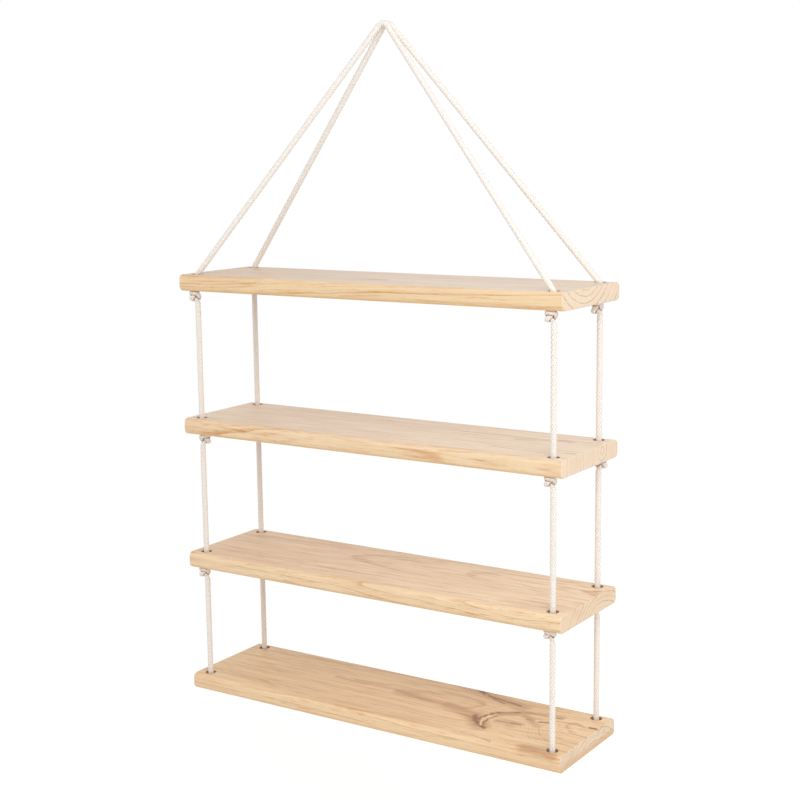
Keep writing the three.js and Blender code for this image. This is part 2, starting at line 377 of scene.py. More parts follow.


# Pine

# How each board was cut: where the tree's middle lies from the middle of the top face (mm) and
# how far it drifts by the board's end, how much it wavers, the width of a year, how strongly
# the lines and the broader bands show, the colours of the broad faces and the ends, what the
# colour of the long edges is multiplied by, and how much the broad faces darken to the left and
# pale to the right. The colours are partly the wood's own tone and partly painted light: the
# broad faces are paler and greyer than the long edges, most on the upper boards, as a painted
# sheen, and each board's tones even out how strongly the lamps light it. The darkening to the
# left is painted shade and the paling to the right is painted light
BOARD_CUTS = (
    {
        "pith": (-25, 50), "drift": (7, 5), "waver": 5, "year": 8.6, "lines": 0.95, "bands": 0.28,
        "face": linear(238, 217, 194), "end": linear(243, 222, 196),
        "edge": (0.97, 0.94, 0.90), "left": 0.34, "right": 0.25,
    },
    {
        "pith": (27, -3), "drift": (8, -5), "waver": 7, "year": 6.4, "lines": 0.9, "bands": 0.45,
        "face": linear(246, 225, 201), "end": linear(247, 224, 198),
        "edge": (0.99, 0.98, 0.99), "left": 0.11, "right": 0.25,
    },
    {
        "pith": (24, -104), "drift": (16, 10), "waver": 9, "year": 7.2, "lines": 0.95, "bands": 0.75,
        "face": linear(243, 214, 181), "end": linear(245, 219, 188),
        "edge": (1.0, 0.99, 1.0), "left": 0.16, "right": 0.85,
    },
    {
        "pith": (16, -92), "drift": (5, 5), "waver": 5, "year": 6.6, "lines": 0.85, "bands": 0.75,
        "face": linear(240, 207, 165), "end": linear(242, 217, 185),
        "edge": (0.99, 0.95, 0.93), "left": 0.02, "right": 0.45,
    },
)

# From a board's middle to the end where the drift is given (mm)
DRIFT_REACH = 300

# Where branches pass below a board's top (mm): the growth lines swell round them
BRANCHES = {
    1: ({"place": (246, 35), "reach": (24, 8), "push": 6},),
    2: ({"place": (236, -80), "reach": (34, 9), "push": 6},),
    3: (
        {"place": (196, -6), "reach": (50, 38), "push": 25},
        {"place": (108, 74), "reach": (30, 9), "push": 9},
        {"place": (293, 31), "reach": (16, 8), "push": 5},
        {"place": (224, 12), "reach": (13, 9), "push": 9},
    ),
}


def branch_swell(row, x, y):
    """How far the branches push the growth lines: a bell round each, added together."""
    swell = 0
    for branch in BRANCHES[row]:
        far_x = (x - branch["place"][0]) / branch["reach"][0]
        far_y = (y - branch["place"][1]) / branch["reach"][1]
        swell = (0 - (far_x * far_x + far_y * far_y)).exponential() * branch["push"] + swell
    return swell


# Marks on the lowest board's top, as strokes (mm): start, end, half width and strength
BARK_STROKES = (
    # the narrow knot near the back edge
    ((60, 83), (92, 79), 4.2, 0.75),
    ((90, 79), (110, 65), 5.0, 0.90),
    ((108, 66), (130, 58), 3.4, 0.85),
    ((128, 59), (174, 51), 2.2, 0.70),
    ((98, 69), (150, 47), 2.0, 0.65),
    # the left side of the big knot, with the scar's two rims
    ((137, -10), (146, -26), 4.8, 0.80),
    ((146, -26), (168, -43), 4.4, 0.90),
    ((147, -20), (149, -3), 3.0, 0.90),
    ((148, -4), (160, 15), 2.6, 0.85),
    ((161, -34), (159, -14), 2.4, 0.80),
    ((159, -14), (163, 3), 2.0, 0.65),
    ((158, 14), (184, 29), 2.2, 0.65),
    # streaks inside it, and the second, smaller knot
    ((171, -13), (186, -12), 2.2, 0.55),
    ((190, -9), (204, -8), 2.2, 0.55),
    ((203, 13), (213, 16), 2.8, 0.50),
    ((222, 13), (233, 17), 3.6, 0.75),
    ((235, 36), (244, 38), 2.8, 0.55),
    # the front edge, and a pin knot by the right end
    ((150, -70), (198, -77), 1.8, 0.30),
    ((289, 29), (297, 29), 2.8, 1.0),
)
STAIN_STROKES = (
    ((56, 82), (180, 46), 15, 0.50),
    ((0, 10), (84, 2), 12, 0.40),
    ((84, 2), (134, -10), 15, 0.62),
    ((134, -10), (162, -40), 18, 0.65),
    ((157, 8), (197, 35), 9, 0.60),
    ((197, 35), (240, 42), 9, 0.50),
    ((192, 25), (226, -2), 8, 0.42),
    ((172, -12), (204, -8), 10, 0.38),
    ((244, -72), (286, -74), 12, 0.50),
)
SCAR_STROKES = (
    ((160, -37), (153, -19), 2.5, 0.9),
    ((153, -19), (154, -3), 2.4, 0.9),
    ((154, -3), (159, 9), 1.9, 0.9),
    ((93, 77), (98, 75), 2.0, 0.9),
    ((109, 65), (114, 63), 1.8, 0.8),
)

# The brown eye and the short streaks by the right end of the second board, in the same way
EYE_ROW = 1
EYE_STROKES = (
    ((188, 16), (240, 34), 9, 0.30),
    ((238, 35), (258, 35), 7, 0.60),
    ((258, 35), (290, 44), 7, 0.25),
    ((284, -31), (296, -30), 3.2, 0.60),
    ((180, -38), (262, -46), 5, 0.25),
)


def strokes(finish, place, marks):
    """The strongest of some strokes, from 0 to 1. Each fades with the distance from a straight
    line between its ends, found from the nearest point on that line."""
    total = None
    for start, end, half_width, strength in marks:
        along = (end[0] - start[0], end[1] - start[1], 0)
        share = 1 / (along[0] ** 2 + along[1] ** 2)
        away = finish.vectors("SUBTRACT", place, (*start, 0))
        travel = Signal(finish, finish.vectors("DOT_PRODUCT", away, along)) * share
        nearest = finish.vectors("SCALE", along, travel.greater(0).lesser(1))
        distance = Signal(finish, finish.vectors("LENGTH", finish.vectors("SUBTRACT", away, nearest)))
        mark = distance.rising(half_width * 1.2, half_width * 0.15) * strength
        total = mark if total is None else total.greater(mark)
    return total


def pine_material(row, pine):
    """Pine: distance from the tree's middle, bent by slow noise, is counted in years. Each year
    darkens slowly and ends in a sharp line; fine noise drawn out along the board gives fibres."""
    cut = BOARD_CUTS[row]
    finish = Finish(bpy.data.materials.new(f"pine_{row + 1}"))
    place = finish.place()
    x, y, z = finish.parts(place)
    seed = row + 1
    depth = z - BOARD_TOPS[row] / MM

    # the years, counted from the tree's middle, and the line at the end of each
    lift = finish.noise(place, (0.0042, 0.008, 0.012), seed, 1.5) * (2 * cut["waver"])
    sideways = finish.noise(place, (0.0034, 0.008, 0.012), seed + 4, 1.0) * (2 * cut["waver"])
    ripple = finish.noise(place, (0.018, 0.05, 0.05), seed + 7, 3.0, 0.62) * 3.0
    across = y - cut["pith"][0] - x * (cut["drift"][0] / DRIFT_REACH) + sideways
    rise = depth - cut["pith"][1] - x * (cut["drift"][1] / DRIFT_REACH) + lift
    from_middle = (across * across + rise * rise).root() + ripple
    flow = across + ripple
    if row in BRANCHES:
        swell = branch_swell(row, x, y) * depth.rising(-26, 0)
        from_middle = from_middle + swell
        flow = flow + swell * 0.45
    years = from_middle / cut["year"]
    count = years + (years * 0.83 + seed).sine() * 0.24
    year = count.part()
    strength = finish.chance(count.floor(), seed) * 0.7 + 0.3
    broken = finish.noise(place, (0.02, 0.2, 0.2), seed + 17, 2.0, 0.6).rising(-0.25, 0.1) * 0.6 + 0.4
    line = year.rising(0.66, 0.93) * year.rising(1.0, 0.96) * strength * broken

    # what is drawn out along the board, from broad bands down to fibres
    drawn = finish.vector(x, flow, rise)
    fine_drawn = finish.vector(x, across + ripple, rise)
    streak = finish.noise(drawn, (0.0065, 0.26, 0.26), seed + 9, 4.0, 0.70)
    dash = finish.noise(fine_drawn, (0.030, 0.70, 0.70), seed + 21, 3.0, 0.7)
    fibre = finish.noise(place, (0.014, 1.3, 1.3), seed + 2, 3.0, 0.65)
    cloud = finish.noise(place, (0.005, 0.02, 0.03), seed + 13, 1.0)
    band = finish.noise(drawn, (0.008, 0.125, 0.125), seed + 43, 4.0, 0.75)
    finer = (count * 3.0 + streak * 1.6).part()
    faint = finer.rising(0.45, 0.88) * finer.rising(1.0, 0.92)

    # which face this is, and how near it is to an edge or a hole
    facing = finish.parts(finish.node("ShaderNodeTexCoord").outputs["Normal"])
    inland = (y.size() - BOARD_DEPTH / 2 / MM).rising(-1, -15)
    broad = facing[2].size().rising(0.55, 0.97) * (inland * 0.6 + 0.4)
    end = facing[0].size().rising(0.5, 0.9)
    side = 1 - end
    hole_x = x.size() - HOLE_X / MM
    hole_y = y.size() - HOLE_Y / MM
    bore = (hole_x * hole_x + hole_y * hole_y).root() - pine.hole_radius / MM

    # how dark the wood is here, and the two colours that it lies between
    amount = (
        line * (cut["lines"] * (0.74 - broad * 0.14) + end * 0.20)
        + faint * 0.30
        + year * 0.06
        + streak.rising(-0.10, 0.18) * 0.50 * side
        + dash.rising(-0.02, 0.24) * (0.46 + end * 0.20)
        + ripple * end * 0.12
        + fibre.rising(-0.05, 0.30) * 0.22
        - 0.32
    )
    face_dark = tuple(v * s for v, s in zip(cut["face"], (0.68, 0.51, 0.36)))
    face_light = tuple(min(v * s, 1) for v, s in zip(cut["face"], (1.10, 1.15, 1.15)))
    end_dark = tuple(v * s for v, s in zip(cut["end"], (0.58, 0.39, 0.25)))
    edge = tuple(v * s for v, s in zip(pine.pale, cut["edge"]))
    # Painted shade darkens the broad faces to the left, and painted light pales them to the right
    face = finish.mix(x.rising(60, -260) * cut["left"], cut["face"], face_dark)
    face = finish.mix(x.rising(-20, 240) * cut["right"], face, face_light)
    # The broad faces take paler, greyer colours than the long edges: partly the wood's tone, partly a painted
    # sheen
    pale = finish.mix(end, finish.mix(broad, edge, face), cut["end"])
    dark = finish.mix(end, finish.mix(broad, pine.growth, face_dark), end_dark)

    colour = finish.mix(amount, pale, dark)
    colour = finish.mix(cloud.rising(0.0, 0.3) * 0.18, colour, dark)
    colour = finish.mix(band.rising(0.0, 0.22) * broad * cut["bands"], colour, face_dark)
    colour = finish.mix(band.rising(-0.02, -0.22) * broad * cut["bands"], colour, face_light)
    # Painted shade and bounced light: a saturated orange on the lower rounding of the long edges
    under = facing[2].rising(-0.15, -0.75) * depth.rising(-15, -19) * side * (1 - inland)
    colour = finish.mix(under * 0.5, colour, pine.lower_edge_shading)
    # Painted shade: the walls of the holes darkened towards a dark brown
    colour = finish.mix(bore.rising(1.1, 0.2) * 0.6, colour, pine.bore)
    if row == EYE_ROW:
        blurred = finish.vector(x + ripple * 4, y + ripple * 2, 0)
        eye = strokes(finish, blurred, EYE_STROKES) * (streak * 2.0 + 1.0) * depth.rising(-8, -2)
        colour = finish.mix(eye, colour, linear(186, 138, 108))
    if row == LOWEST:
        fray = finish.noise(place, (0.06, 0.09, 0.09), 31, 3.0, 0.65)
        wisp = finish.noise(place, (0.045, 0.14, 0.14), 37, 3.0, 0.65)
        ragged = finish.vector(x + fray * 10, y + wisp * 8, 0)
        on_top = depth.rising(-12, -4)
        grey = finish.noise(place, (0.02, 0.035, 0.12), 41, 2.0, 0.6)
        specks = finish.noise(place, (0.05, 0.12, 0.35), 43, 3.0, 0.7)
        stain = strokes(finish, ragged, STAIN_STROKES) * (streak * 2.6 + 1.05) * on_top
        scar = strokes(finish, ragged, SCAR_STROKES) * (dash * 1.2 + 0.95) * on_top
        bark = strokes(finish, ragged, BARK_STROKES) * (dash * 2.4 + 1.0) * (1 - scar) * on_top
        colour = finish.mix(grey.rising(-0.02, 0.14) * end * 0.45, colour, linear(224, 212, 196))
        warm = (depth + fray * 14).rising(-10, -17) * end * 0.60
        colour = finish.mix(warm, colour, linear(222, 176, 128))
        colour = finish.mix(stain, colour, linear(182, 128, 86))
        colour = finish.mix(scar, colour, linear(238, 213, 168))
        colour = finish.mix(bark.greater(specks.rising(0.10, 0.24) * end * 0.6), colour, pine.bark)
    return finish.surface(
        {
            "Base Color": colour,
            "Roughness": fibre * 0.10 + pine.roughness - line * 0.06,
            "IOR": 1.45,
            "Specular IOR Level": 0.5,
            "Normal": finish.bump(amount + fibre * 0.4, 0.35, 0.25 * MM),
        }
    )


# Cotton


def cotton_material(name, rope):
    """Braided cotton. The UV map counts strands round the rope and crossings along it; their sum
    and difference run across the two families of strands, and the family on top is the one that
    the mesh has there. Yarns are noise drawn out along the strand on top."""
    finish = Finish(bpy.data.materials.new(name))
    uv = finish.node("ShaderNodeUVMap", {"uv_map": "braid"}).outputs[0]
    around, along, _ = finish.parts(uv)
    first, second = around + along, around - along
    crown_node = finish.node("ShaderNodeAttribute", {"attribute_name": "crown"})
    crown = Signal(finish, crown_node.outputs["Fac"])
    parity = ((first.floor() + second.floor()) * 0.5).part() * 2
    over = parity.rising(0.4, 0.6)

    def yarns(across, lengthways, seed):
        """Four yarns side by side in each strand: a ridge for each, made uneven by noise."""
        vector = finish.vector(across * 8.0, lengthways * 1.6, across.floor() * 3.7 + seed)
        uneven = finish.noise(vector, (1.0, 1.0, 1.0), 0, 2.0, 0.6)
        ridge = ((across * 4.0 + uneven * 0.5).part() - 0.5).size() * 2.0
        return ridge * 0.6 + uneven

    yarn = yarns(first, second, 0) * (1 - over) + yarns(second, first, 5) * over
    place = finish.place()
    cloud = finish.noise(place, (0.05, 0.05, 0.05), 2, 2.0)
    fleck = finish.noise(place, (0.9, 0.9, 0.5), 8, 0.0)
    fluff = finish.noise(place, (4.0, 4.0, 3.0), 5, 2.0)
    # Painted shade: one family of strands a little darker, and a darker colour in the braid's hollows, in a
    # knot's creases and where it meets the board, and in the grooves between yarns
    colour = finish.mix(over * 0.08, rope.cotton, rope.braid_shade)
    colour = finish.mix(crown.rising(0.62, 0.10), colour, rope.braid_shade)
    colour = finish.mix(crown.rising(-0.02, -0.5) * 0.55, colour, rope.crease_shade)
    colour = finish.mix(yarn.rising(0.25, 0.75) * 0.30, colour, rope.braid_shade)
    colour = finish.mix(cloud.rising(0.0, 0.35) * 0.3, colour, linear(240, 230, 214))
    colour = finish.mix(fleck.rising(0.36, 0.42) * 0.5, colour, rope.husk)
    return finish.surface(
        {
            "Base Color": colour,
            "Roughness": fluff * 0.1 + rope.roughness,
            "Specular IOR Level": 0.25,
            "Sheen Weight": 0.05,
            "Sheen Roughness": 0.6,
            "Normal": finish.bump(fluff * 0.5 - yarn * 0.8, 0.5, 0.35 * MM),
        }
    )


# Making pieces


def place_piece(name, mesh, material, node):
    """Puts a mesh into the scene as a piece that stands for a node and rides on its body."""
    piece = bpy.data.objects.new(name, mesh)
    bpy.context.scene.collection.objects.link(piece)
    mesh.materials.clear()
    mesh.materials.append(material)
    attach(piece, body_of(frame["nodes"][node])[0])
    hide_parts(node)
    return piece


def new_mesh(name, points, faces):
    """A mesh from an array of points and a list of faces."""
    mesh = bpy.data.meshes.new(name)
    mesh.from_pydata(points.reshape(-1, 3).tolist(), [], faces)
    mesh.update()
    return mesh


def grid_faces(rows, columns):
    """Quads between neighbouring rows of a grid whose columns close into a ring, and the row and
    the column that each quad starts from."""
    row, column = np.meshgrid(np.arange(rows - 1), np.arange(columns), indexing="ij")
    here, after = row * columns, (column + 1) % columns
    corners = (here + column, here + after, here + columns + after, here + columns + column)
    return np.stack(corners, axis=-1).reshape(-1, 4), row.ravel(), column.ravel()


def fan_faces(rows, columns):
    """Triangles that close a grid's first and last ring on the two points that follow the grid."""
    column = np.arange(columns)
    after = (column + 1) % columns
    last = (rows - 1) * columns
    tip = rows * columns
    opening = np.stack((np.full(columns, tip), after, column), axis=-1)
    closing = np.stack((np.full(columns, tip + 1), last + column, last + after), axis=-1)
    return np.concatenate((opening, closing))


def ringed_solid(name, rings, flipped=False):
    """A solid from a grid of rings, with one flat face over the first and one over the last."""
    count, columns = rings.shape[:2]
    faces = grid_faces(count, columns)[0].tolist()
    faces.append(list(range(columns))[::-1])
    faces.append(list(range((count - 1) * columns, count * columns)))
    if flipped:
        faces = [face[::-1] for face in faces]
    return new_mesh(name, rings, faces)


# Rope surfaces

# Points on the grid for each strand, round the rope and along it
STRAND_GRID = 8

# The braid's height: how fast a strand falls away from its middle, how far a crossing lifts it,
# and the heights that count as 0 and, above that, as 1
STRAND_FALL = 1.75
CROSSING_LIFT = 0.34
HOLLOW_HEIGHT = 0.5
CROWN_RISE = 0.84

# Strands of a knot that lie this far apart along the rope can pinch each other, and the gap
# between them up to which a crease shows painted shade. The distance is measured to every third
# point of the route, and in a crease the crown value goes down to minus the crease depth, so that
# the cotton there takes the painted crease shade
CREASE_APART = 13 * MM
CREASE_GAP = 1.4 * MM
CREASE_STRIDE = 3
CREASE_DEPTH = 0.5

# A cut end: its steps, how far it bulges, how square its edge is, the ripple of its yarns and the
# crossings counted over it
CAP_STEPS = 5
CAP_BULGE = 0.9 * MM
CAP_SQUARENESS = 0.6
CAP_RIPPLE = 0.25 * MM
CAP_WAVES = 9
CAP_CROSSINGS = 1.5

# The crown value of the points that close a tube
TIP_CROWN = 0.3

# The balls that fill the bends: their rows, and their share of the rope's radius
BEND_ROWS = 15
BEND_SHARE = 0.997


def braid_height(around, along):
    """Height of a plain braid, 0 in its hollows to 1 on its crowns. Two families of strands wind
    opposite ways. Across a strand its height is an arc; along it a cosine lifts it over one
    crossing and sinks it under the next. The higher family shows."""

    def family(across, lengthways, sign):
        strand = np.floor(across)
        arc = np.sqrt(1 - (STRAND_FALL * (across - strand - 0.5)) ** 2)
        return arc + CROSSING_LIFT * sign * np.cos(np.pi * (lengthways - 0.5 - strand))

    first, second = around + along, around - along
    height = np.maximum(family(first, second, 1), family(second, first, -1))
    return np.clip((height - HOLLOW_HEIGHT) / CROWN_RISE, 0, 1)


def travelled(route):
    """Length along a route at each of its points."""
    steps = np.linalg.norm(np.diff(route, axis=0), axis=1)
    return np.concatenate(([0.0], np.cumsum(steps)))


def even_route(route, spacing):
    """The same route with its points evenly spaced, and their distances along it."""
    length = travelled(route)
    count = max(int(round(length[-1] / spacing)), 2) + 1
    even = np.linspace(0, length[-1], count)
    return np.stack([np.interp(even, length, route[:, axis]) for axis in range(3)], axis=-1), even


def route_frames(route):
    """Side directions carried along a route without twist, starting from +X."""
    along = np.gradient(route, axis=0)
    along /= np.linalg.norm(along, axis=1)[:, None]
    sides = np.empty_like(along)
    side = np.array([1.0, 0.0, 0.0])
    for i, direction in enumerate(along):
        side = side - direction * side.dot(direction)
        side /= np.linalg.norm(side)
        sides[i] = side
    return along, sides, np.cross(along, sides)


def openness(points, route, length, rope, seat):
    """How open each point of a knot's surface lies: its distance from the strands further along
    the rope, or from the board at height seat if that is nearer, as a share of a small gap."""
    strands = route[::CREASE_STRIDE]
    reach = points[:, :, None, :] - strands[None, None]
    away = np.sqrt((reach * reach).sum(axis=-1))
    same = np.abs(length[:, None] - length[::CREASE_STRIDE][None]) < CREASE_APART
    away = np.where(same[:, None, :], 1.0, away).min(axis=-1) - rope.knot_strand
    away = np.minimum(away, np.abs(points[..., 2] - seat))
    return np.clip(away / CREASE_GAP, 0, 1)


def braid_grid(phase, rope):
    """The braid's height on a grid: a row for each count of crossings, a column round the rope."""
    around = np.arange(rope.strands * STRAND_GRID) / STRAND_GRID
    return braid_height(around[None, :], phase[:, None])


def braid_reach(height, rope):
    """How far the surface lies from the rope's axis, as a share of its radius."""
    return 1 - rope.braid_depth / (rope.diameter / 2) * (1 - height)


def rope_tube(name, route, phases, rope, radius=None, cut_end=False, relief=1, seat=None):
    """A braided tube along a route. Phases are the crossings counted at its two ends, and the
    braid is stretched by less than half a crossing to meet them. The radius, if it isn't the
    rope's own, is given as distances along the route and the radii there. A relief below 1 pulls
    the braid smoother. A seat is the height of the board over a knot, which gets painted shade in
    its creases and just under the board."""
    sides = rope.strands * STRAND_GRID
    spacing = rope.strand_spacing
    even, length = even_route(route, spacing / STRAND_GRID)
    along, side, other = route_frames(even)
    wanted = phases[1] - phases[0]
    total = wanted + round(length[-1] / spacing - wanted)
    phase = phases[0] + total * length / length[-1]
    last_turn = math.atan2(side[-1].dot((0.0, -along[-1][2], 0.0)), side[-1][0])

    height = 1 - (1 - braid_grid(phase, rope)) * relief
    reach = rope.diameter / 2 if radius is None else np.interp(length, *radius)[:, None]
    size = reach * braid_reach(height, rope)
    twist = last_turn * length / length[-1]
    angle = 2 * math.pi * np.arange(sides)[None, :] / sides + twist[:, None]
    ring = np.cos(angle)[..., None] * side[:, None, :] + np.sin(angle)[..., None] * other[:, None, :]
    points = even[:, None, :] + size[..., None] * ring
    # Painted shade: the crown value goes below 0 in a knot's creases and just under the board
    if seat is not None:
        open_share = openness(points, even, length, rope, seat)
        height = height * open_share - CREASE_DEPTH * (1 - open_share)
    if cut_end:
        points, height, phase = add_cut_end(points, height, phase, even[-1], along[-1])
    tips = np.stack((even[0], points[-1].mean(axis=0)))
    return closed_braid(name, points, tips, height, phase)


def add_cut_end(points, height, phase, middle, direction):
    """Rings that close a cut end: the last ring shrunk by quarter circle steps and pushed out,
    with a ripple round it for the ends of the yarns."""
    steps = np.linspace(0, 1, CAP_STEPS + 2)[1:-1]
    shrink = np.cos(steps * math.pi / 2) ** CAP_SQUARENESS
    out = CAP_BULGE * np.sin(steps * math.pi / 2)
    turn = np.linspace(0, 2 * math.pi, points.shape[1], endpoint=False)
    ripple = CAP_RIPPLE * np.sin(turn * CAP_WAVES)[None, :] * np.sin(steps * math.pi)[:, None]
    caps = middle + (points[-1] - middle)[None] * shrink[:, None, None]
    caps = caps + direction * (out[:, None] + ripple)[..., None]
    points = np.concatenate((points, caps))
    height = np.concatenate((height, np.repeat(height[-1:], CAP_STEPS, axis=0)))
    phase = np.concatenate((phase, phase[-1] + steps * CAP_CROSSINGS))
    return points, height, phase


def closed_braid(name, points, tips, height, phase):
    """A mesh from rings of points that close on a tip at each end. It gets a UV map in strands
    and crossings, and the braid's height at each point."""
    rows, sides = points.shape[:2]
    quads, row, column = grid_faces(rows, sides)
    fans = fan_faces(rows, sides)
    faces = quads[:, ::-1].tolist() + fans[:, ::-1].tolist()
    mesh = new_mesh(name, np.concatenate((points.reshape(-1, 3), tips)), faces)

    # the corners of the turned quads, which come before the triangles
    quad_columns = np.stack((column, column + 1, column + 1, column), axis=-1)
    quad_rows = np.stack((row + 1, row + 1, row, row), axis=-1)
    uv = np.zeros((len(mesh.loops), 2))
    uv[: quad_columns.size, 0] = quad_columns.ravel() / STRAND_GRID
    uv[: quad_rows.size, 1] = phase[quad_rows].ravel()
    layer = mesh.uv_layers.new(name="braid")
    layer.data.foreach_set("uv", uv.ravel().astype(np.float32))
    values = np.concatenate((height.ravel(), (TIP_CROWN, TIP_CROWN)))
    crown = mesh.attributes.new("crown", "FLOAT", "POINT")
    crown.data.foreach_set("value", values.astype(np.float32))
    mesh.shade_smooth()
    mesh.set_sharp_from_angle(angle=math.radians(80))
    return mesh


def crossings_at(height, rope):
    """Crossings counted from the origin down to a height, for a rope followed downwards."""
    return -height / rope.strand_spacing


# Rope routes

# The length over which a rope gets thinner towards a knot, and the share of it outside the knot
THINNING_LENGTH = 5.5 * MM
THINNING_OUTSIDE = 0.45

# Points along each of the sling's arcs and along a span, and steps between two points of a knot's
# route and along the straight rope above and below it
ARC_POINTS = 25
SPAN_POINTS = 16
CURVE_STEPS = 24
LEAD_STEPS = 8


def knot_middle(row):
    seat = BOARD_BOTTOMS[row] + (bpy.context.scene.shelf_pine.recess_depth if row == LOWEST else 0)
    return seat - TOUCH_GAP - KNOT_HALF


def upper_pivot(row, rope):
    return knot_middle(row) - KNOT_HALF - KNOT_NECK - rope.diameter / 2 - BEND_GAP


def lower_pivot(row):
    return BOARD_TOPS[row] + BEND_RISE


def smooth_through(points):
    """A smooth curve through points: between each two, four neighbours are blended three times
    by straight lines, timed by the roots of the distances between them."""
    points = np.asarray(points, float)
    ends = np.concatenate(([2 * points[0] - points[1]], points, [2 * points[-1] - points[-2]]))
    stretches = len(points) - 1
    four = [ends[i : i + stretches] for i in range(4)]
    times = [np.zeros((stretches, 1))]
    for before, after in zip(four, four[1:]):
        times.append(times[-1] + np.sqrt(np.linalg.norm(after - before, axis=1))[:, None])
    share = np.linspace(0, 1, CURVE_STEPS, endpoint=False)
    now = times[1] + (times[2] - times[1]) * share[None, :]

    def blend(first, second, start, end):
        """Between first and second, as now lies between the times start and end."""
        left = (times[end] - now) / (times[end] - times[start])
        right = (now - times[start]) / (times[end] - times[start])
        return left[..., None] * first + right[..., None] * second

    wide = [neighbours[:, None, :] for neighbours in four]
    lines = [blend(wide[i], wide[i + 1], i, i + 1) for i in range(3)]
    bends = [blend(lines[i], lines[i + 1], i, i + 2) for i in range(2)]
    curve = blend(bends[0], bends[1], 1, 2).reshape(-1, 3)
    return np.concatenate((curve, points[-1:]))


def straight_lead(from_z, to_z):
    """Points on a hole's axis from one height towards another, without the last."""
    heights = np.linspace(from_z, to_z, LEAD_STEPS + 1)[:-1]
    return np.stack((0 * heights, 0 * heights, heights), axis=-1)


def knot_route(row, corner, rope):
    """The rope from above the knot, through it, to below it: the model's route, pulled tighter and
    turned to the side that the knot bulges to, with the straight rope led onto it smoothly."""
    lower = np.array(KNOT_ROUTE_SHARES)
    upper = (lower * (-1, 1, -1))[::-1]
    end = KNOT_HALF / KNOT_PITCH
    route = np.concatenate(([(0, 0, end)], upper, [(0, KNOT_MIDDLE_SHARE, 0)], lower, [(0, 0, -end)]))
    route = route * KNOT_PITCH * (KNOT_HANDS[row][corner], 1, 1)
    last = None if row == LOWEST else -1
    below_top = route[0, 2] - route[1:last, 2]
    route[1:last, 2] = route[0, 2] - below_top * KNOT_TIGHTNESS[row][corner]

    bulge = math.radians(KNOT_BULGES[row][corner])
    turn = bulge + math.pi / 2
    cosine, sine = math.cos(turn), math.sin(turn)
    route = route @ np.array([(cosine, -sine, 0), (sine, cosine, 0), (0, 0, 1)]).T
    shift = RECESSED_SHIFT if row == LOWEST else KNOT_SHIFT
    # only points at the full half height stay on the hole's axis
    lean = shift * (np.abs(route[:, 2]) < KNOT_HALF * 0.99)
    route[:, :2] += lean[:, None] * (math.cos(bulge), math.sin(bulge))
    route[:, 2] += knot_middle(row)

    top_z, bottom_z = route[0][2], route[-1][2]
    start = lower_pivot(row)
    if row == 0:
        start = BOARD_TOPS[0] - BOARD_THICKNESS / 2 - TOUCH_GAP / 2
    finish = bottom_z - END_TAIL if row == LOWEST else upper_pivot(row, rope)
    above = straight_lead(start, top_z)
    below = straight_lead(finish, bottom_z)[::-1]
    _, side_x, side_y = CORNERS[corner]
    whole = smooth_through(np.concatenate((above, route, below)))
    return whole + (side_x * HOLE_X, side_y * HOLE_Y, 0)


def knot_radius(route, row, rope):
    """Distances along a knot's route and the radii there: the rope's own outside, less inside."""
    length = travelled(route)
    inside = np.abs(route[:, 2] - knot_middle(row)) < KNOT_HALF
    first, last = length[inside][0], length[inside][-1]
    into = np.clip(np.minimum(length - first, last - length) / THINNING_LENGTH + THINNING_OUTSIDE, 0, 1)
    share = into * into * (3 - 2 * into)
    return length, rope.diameter / 2 + (rope.knot_strand - rope.diameter / 2) * share


def rounded_route(points, radii):
    """A route through corner points, each rounded by an arc of its own radius."""
    points = [np.array(point, float) for point in points]
    route = [points[0]]
    for before, corner, after, radius in zip(points, points[1:], points[2:], radii):
        inward = (before - corner) / np.linalg.norm(before - corner)
        outward = (after - corner) / np.linalg.norm(after - corner)
        turn = math.pi - math.acos(np.clip(inward.dot(outward), -1, 1))
        bisector = (inward + outward) / np.linalg.norm(inward + outward)
        centre = corner + bisector * radius / math.cos(turn / 2)
        start = corner + inward * radius * math.tan(turn / 2) - centre
        spin = (start / radius, -inward)
        for step in np.linspace(0, turn, ARC_POINTS):
            route.append(centre + radius * (spin[0] * math.cos(step) + spin[1] * math.sin(step)))
    route.append(points[-1])
    return np.array(route)


def sling_route(side_y, rope):
    """From the middle of the top board on the left, over the hook, to the same on the right."""
    radius = rope.diameter / 2
    arch = HOOK_RADIUS + radius
    beside = side_y * (radius + SLING_GAP / 2)
    mouth = BOARD_TOPS[0] - MOUTH_BEND_DEPTH
    start = BOARD_TOPS[0] - BOARD_THICKNESS / 2
    slope = math.atan2(math.hypot(HOLE_X, HOLE_Y - abs(beside)), radius - mouth)
    peak = radius + arch * (1 / math.sin(slope) - 1)
    points = (
        (-HOLE_X, side_y * HOLE_Y, start),
        (-HOLE_X, side_y * HOLE_Y, mouth),
        (0, beside, peak),
        (HOLE_X, side_y * HOLE_Y, mouth),
        (HOLE_X, side_y * HOLE_Y, start),
    )
    return rounded_route(points, (MOUTH_BEND_RADIUS, arch, MOUTH_BEND_RADIUS))


# Boards

# Points along the rounding of a long edge, of an end and of a hole's mouth, and round a hole
EDGE_POINTS = 10
BEVEL_POINTS = 6
MOUTH_POINTS = 7
HOLE_COLUMNS = 48

# How far the solids that cut the holes stand out of the board, and the corner in a recess
HOLE_OVERSHOOT = 1 * MM
RECESS_CORNER = 0.6 * MM


def rounded_section(radius, inset):
    """The board's section as points (y, z) from its middle: four arcs round fixed centres, whose
    radius is the edge's less the inset."""
    quarter = np.linspace(0, math.pi / 2, EDGE_POINTS)
    angle = (quarter[None, :] + np.arange(4)[:, None] * math.pi / 2).ravel()
    corner_y = np.repeat(np.array((1, -1, -1, 1)) * (BOARD_DEPTH / 2 - radius), EDGE_POINTS)
    corner_z = np.repeat(np.array((1, 1, -1, -1)) * (BOARD_THICKNESS / 2 - radius), EDGE_POINTS)
    reach = radius - inset
    return corner_y + reach * np.cos(angle), corner_z + reach * np.sin(angle)


